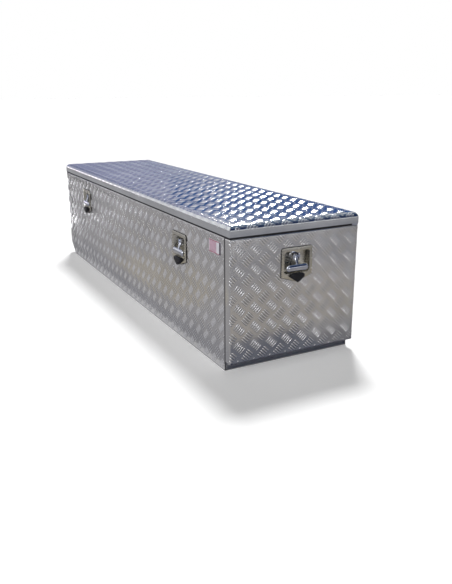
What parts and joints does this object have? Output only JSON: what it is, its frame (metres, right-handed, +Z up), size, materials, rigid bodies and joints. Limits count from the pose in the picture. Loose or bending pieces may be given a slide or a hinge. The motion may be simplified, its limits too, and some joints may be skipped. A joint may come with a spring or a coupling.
{
  "type": "aluminium chest",
  "caption": "Long tread-plate aluminium chest with a rolled-edge lid on gas struts, recessed T-handle locks and a drop-down door in one end.",
  "frame": {"origin": "underside of the floor, at the middle of the chest's length and width", "axes": "+X towards the end with the drop-down door, -Y towards the front with the two lid locks, +Z up"},
  "size_m": [1.9558, 0.5158, 0.498],
  "materials": {
    "tread_plate": "bright five-bar tread plate, lightly satin",
    "plain_aluminium": "plain mill-finish sheet",
    "stainless": "pressed stainless steel, fine brushing",
    "chrome": "polished chrome plate",
    "zinc_steel": "zinc-plated steel",
    "rubber": "matt black rubber",
    "painted_black": "satin black paint",
    "label_film": "blank white adhesive film"
  },
  "bodies": {
    "body": {"front_panel": "tread_plate", "rear_panel": "tread_plate", "far_end_panel": "tread_plate", "floor_panel": "tread_plate", "near_end_frame": "plain_aluminium", "door_seal": "rubber", "door_strike": "zinc_steel", "lid_hinge_body_leaf": "plain_aluminium", "lid_hinge_pin": "zinc_steel", "door_hinge_body_leaf": "plain_aluminium", "door_hinge_pin": "zinc_steel", "strut_body_bracket_near": "zinc_steel", "strut_body_bracket_far": "zinc_steel", "blank_label": "label_film", "near_lock_plate": "stainless", "near_lock_gasket": "rubber", "near_lock_barrel": "chrome", "far_lock_plate": "stainless", "far_lock_gasket": "rubber", "far_lock_barrel": "chrome"},
    "lid": {"lid_skin": "tread_plate", "lid_stiffener_near": "plain_aluminium", "lid_stiffener_far": "plain_aluminium", "lid_seal": "rubber", "lid_strike_near": "zinc_steel", "lid_strike_far": "zinc_steel", "lid_hinge_lid_leaf": "plain_aluminium", "strut_lid_bracket_near": "zinc_steel", "strut_lid_bracket_far": "zinc_steel"},
    "door": {"door_skin": "tread_plate", "door_hinge_door_leaf": "plain_aluminium", "door_lock_plate": "stainless", "door_lock_gasket": "rubber", "door_lock_barrel": "chrome"},
    "near_spindle": {"near_lock_spindle": "chrome", "near_lock_handle_pin": "zinc_steel", "near_lock_cam": "zinc_steel", "near_lock_cam_nut": "zinc_steel"},
    "near_handle": {"near_lock_handle": "chrome"},
    "near_key_plug": {"near_lock_key_plug": "chrome"},
    "near_cap": {"near_lock_cap": "rubber"},
    "far_spindle": {"far_lock_spindle": "chrome", "far_lock_handle_pin": "zinc_steel", "far_lock_cam": "zinc_steel", "far_lock_cam_nut": "zinc_steel"},
    "far_handle": {"far_lock_handle": "chrome"},
    "far_key_plug": {"far_lock_key_plug": "chrome"},
    "far_cap": {"far_lock_cap": "rubber"},
    "door_spindle": {"door_lock_spindle": "chrome", "door_lock_handle_pin": "zinc_steel", "door_lock_cam": "zinc_steel", "door_lock_cam_nut": "zinc_steel"},
    "door_handle": {"door_lock_handle": "chrome"},
    "door_key_plug": {"door_lock_key_plug": "chrome"},
    "door_cap": {"door_lock_cap": "rubber"},
    "strut_tube_near": {"strut_tube_near": "painted_black"},
    "strut_tube_far": {"strut_tube_far": "painted_black"},
    "strut_rod_near": {"strut_rod_near": "chrome"},
    "strut_rod_far": {"strut_rod_far": "chrome"}
  },
  "joints": [
    {"name": "lid_hinge", "type": "hinge", "parent": "body", "child": "lid", "pos_m": [0, 0.2471, 0.4552], "axis": [-1, 0, 0], "range_deg": [0, 80]},
    {"name": "door_hinge", "type": "hinge", "parent": "body", "child": "door", "pos_m": [0.9394, 0, 0.03], "axis": [0, 1, 0], "range_deg": [0, 80]},
    {"name": "near_spindle_turn", "type": "hinge", "parent": "body", "child": "near_spindle", "pos_m": [0.585, -0.25, 0.369], "axis": [0, -1, 0], "range_deg": [0, 90]},
    {"name": "near_handle_lift", "type": "hinge", "parent": "near_spindle", "child": "near_handle", "pos_m": [0.585, -0.238, 0.369], "axis": [-1, 0, 0], "range_deg": [0, 66]},
    {"name": "near_key_turn", "type": "hinge", "parent": "body", "child": "near_key_plug", "pos_m": [0.585, -0.25, 0.302], "axis": [0, -1, 0], "range_deg": [0, 90]},
    {"name": "near_cap_fold", "type": "hinge", "parent": "body", "child": "near_cap", "pos_m": [0.585, -0.2538, 0.285], "axis": [1, 0, 0], "range_deg": [0, 90]},
    {"name": "far_spindle_turn", "type": "hinge", "parent": "body", "child": "far_spindle", "pos_m": [-0.585, -0.25, 0.369], "axis": [0, -1, 0], "range_deg": [0, 90]},
    {"name": "far_handle_lift", "type": "hinge", "parent": "far_spindle", "child": "far_handle", "pos_m": [-0.585, -0.238, 0.369], "axis": [-1, 0, 0], "range_deg": [0, 66]},
    {"name": "far_key_turn", "type": "hinge", "parent": "body", "child": "far_key_plug", "pos_m": [-0.585, -0.25, 0.302], "axis": [0, -1, 0], "range_deg": [0, 90]},
    {"name": "far_cap_fold", "type": "hinge", "parent": "body", "child": "far_cap", "pos_m": [-0.585, -0.2538, 0.285], "axis": [1, 0, 0], "range_deg": [0, 90]},
    {"name": "door_spindle_turn", "type": "hinge", "parent": "door", "child": "door_spindle", "pos_m": [0.97, 0, 0.369], "axis": [1, 0, 0], "range_deg": [0, 90]},
    {"name": "door_handle_lift", "type": "hinge", "parent": "door_spindle", "child": "door_handle", "pos_m": [0.958, 0, 0.369], "axis": [0, -1, 0], "range_deg": [0, 66]},
    {"name": "door_key_turn", "type": "hinge", "parent": "door", "child": "door_key_plug", "pos_m": [0.97, 0, 0.302], "axis": [1, 0, 0], "range_deg": [0, 90]},
    {"name": "door_cap_fold", "type": "hinge", "parent": "door", "child": "door_cap", "pos_m": [0.9738, 0, 0.285], "axis": [0, 1, 0], "range_deg": [0, 90]},
    {"name": "near_strut_swing", "type": "hinge", "parent": "body", "child": "strut_tube_near", "pos_m": [0.888, 0.1781, 0.2622], "axis": [-1, 0, 0], "range_deg": [0, 31]},
    {"name": "near_strut_stroke", "type": "slide", "parent": "strut_tube_near", "child": "strut_rod_near", "axis": [0, -0.3659, 0.9306], "range_m": [0, 0.127]},
    {"name": "far_strut_swing", "type": "hinge", "parent": "body", "child": "strut_tube_far", "pos_m": [-0.888, 0.1781, 0.2622], "axis": [-1, 0, 0], "range_deg": [0, 31]},
    {"name": "far_strut_stroke", "type": "slide", "parent": "strut_tube_far", "child": "strut_rod_far", "axis": [0, -0.3659, 0.9306], "range_m": [0, 0.127]}
  ],
  "couplings": [
    {"joint": "near_spindle_turn", "follows": "near_handle_lift", "ratio": 1.3636},
    {"joint": "far_spindle_turn", "follows": "far_handle_lift", "ratio": 1.3636},
    {"joint": "door_spindle_turn", "follows": "door_handle_lift", "ratio": 1.3636},
    {"joint": "near_strut_swing", "follows": "lid_hinge", "ratio": 0.38373},
    {"joint": "near_strut_stroke", "follows": "lid_hinge", "m_per_rad": 0.090333},
    {"joint": "far_strut_swing", "follows": "lid_hinge", "ratio": 0.38373},
    {"joint": "far_strut_stroke", "follows": "lid_hinge", "m_per_rad": 0.090333}
  ]
}
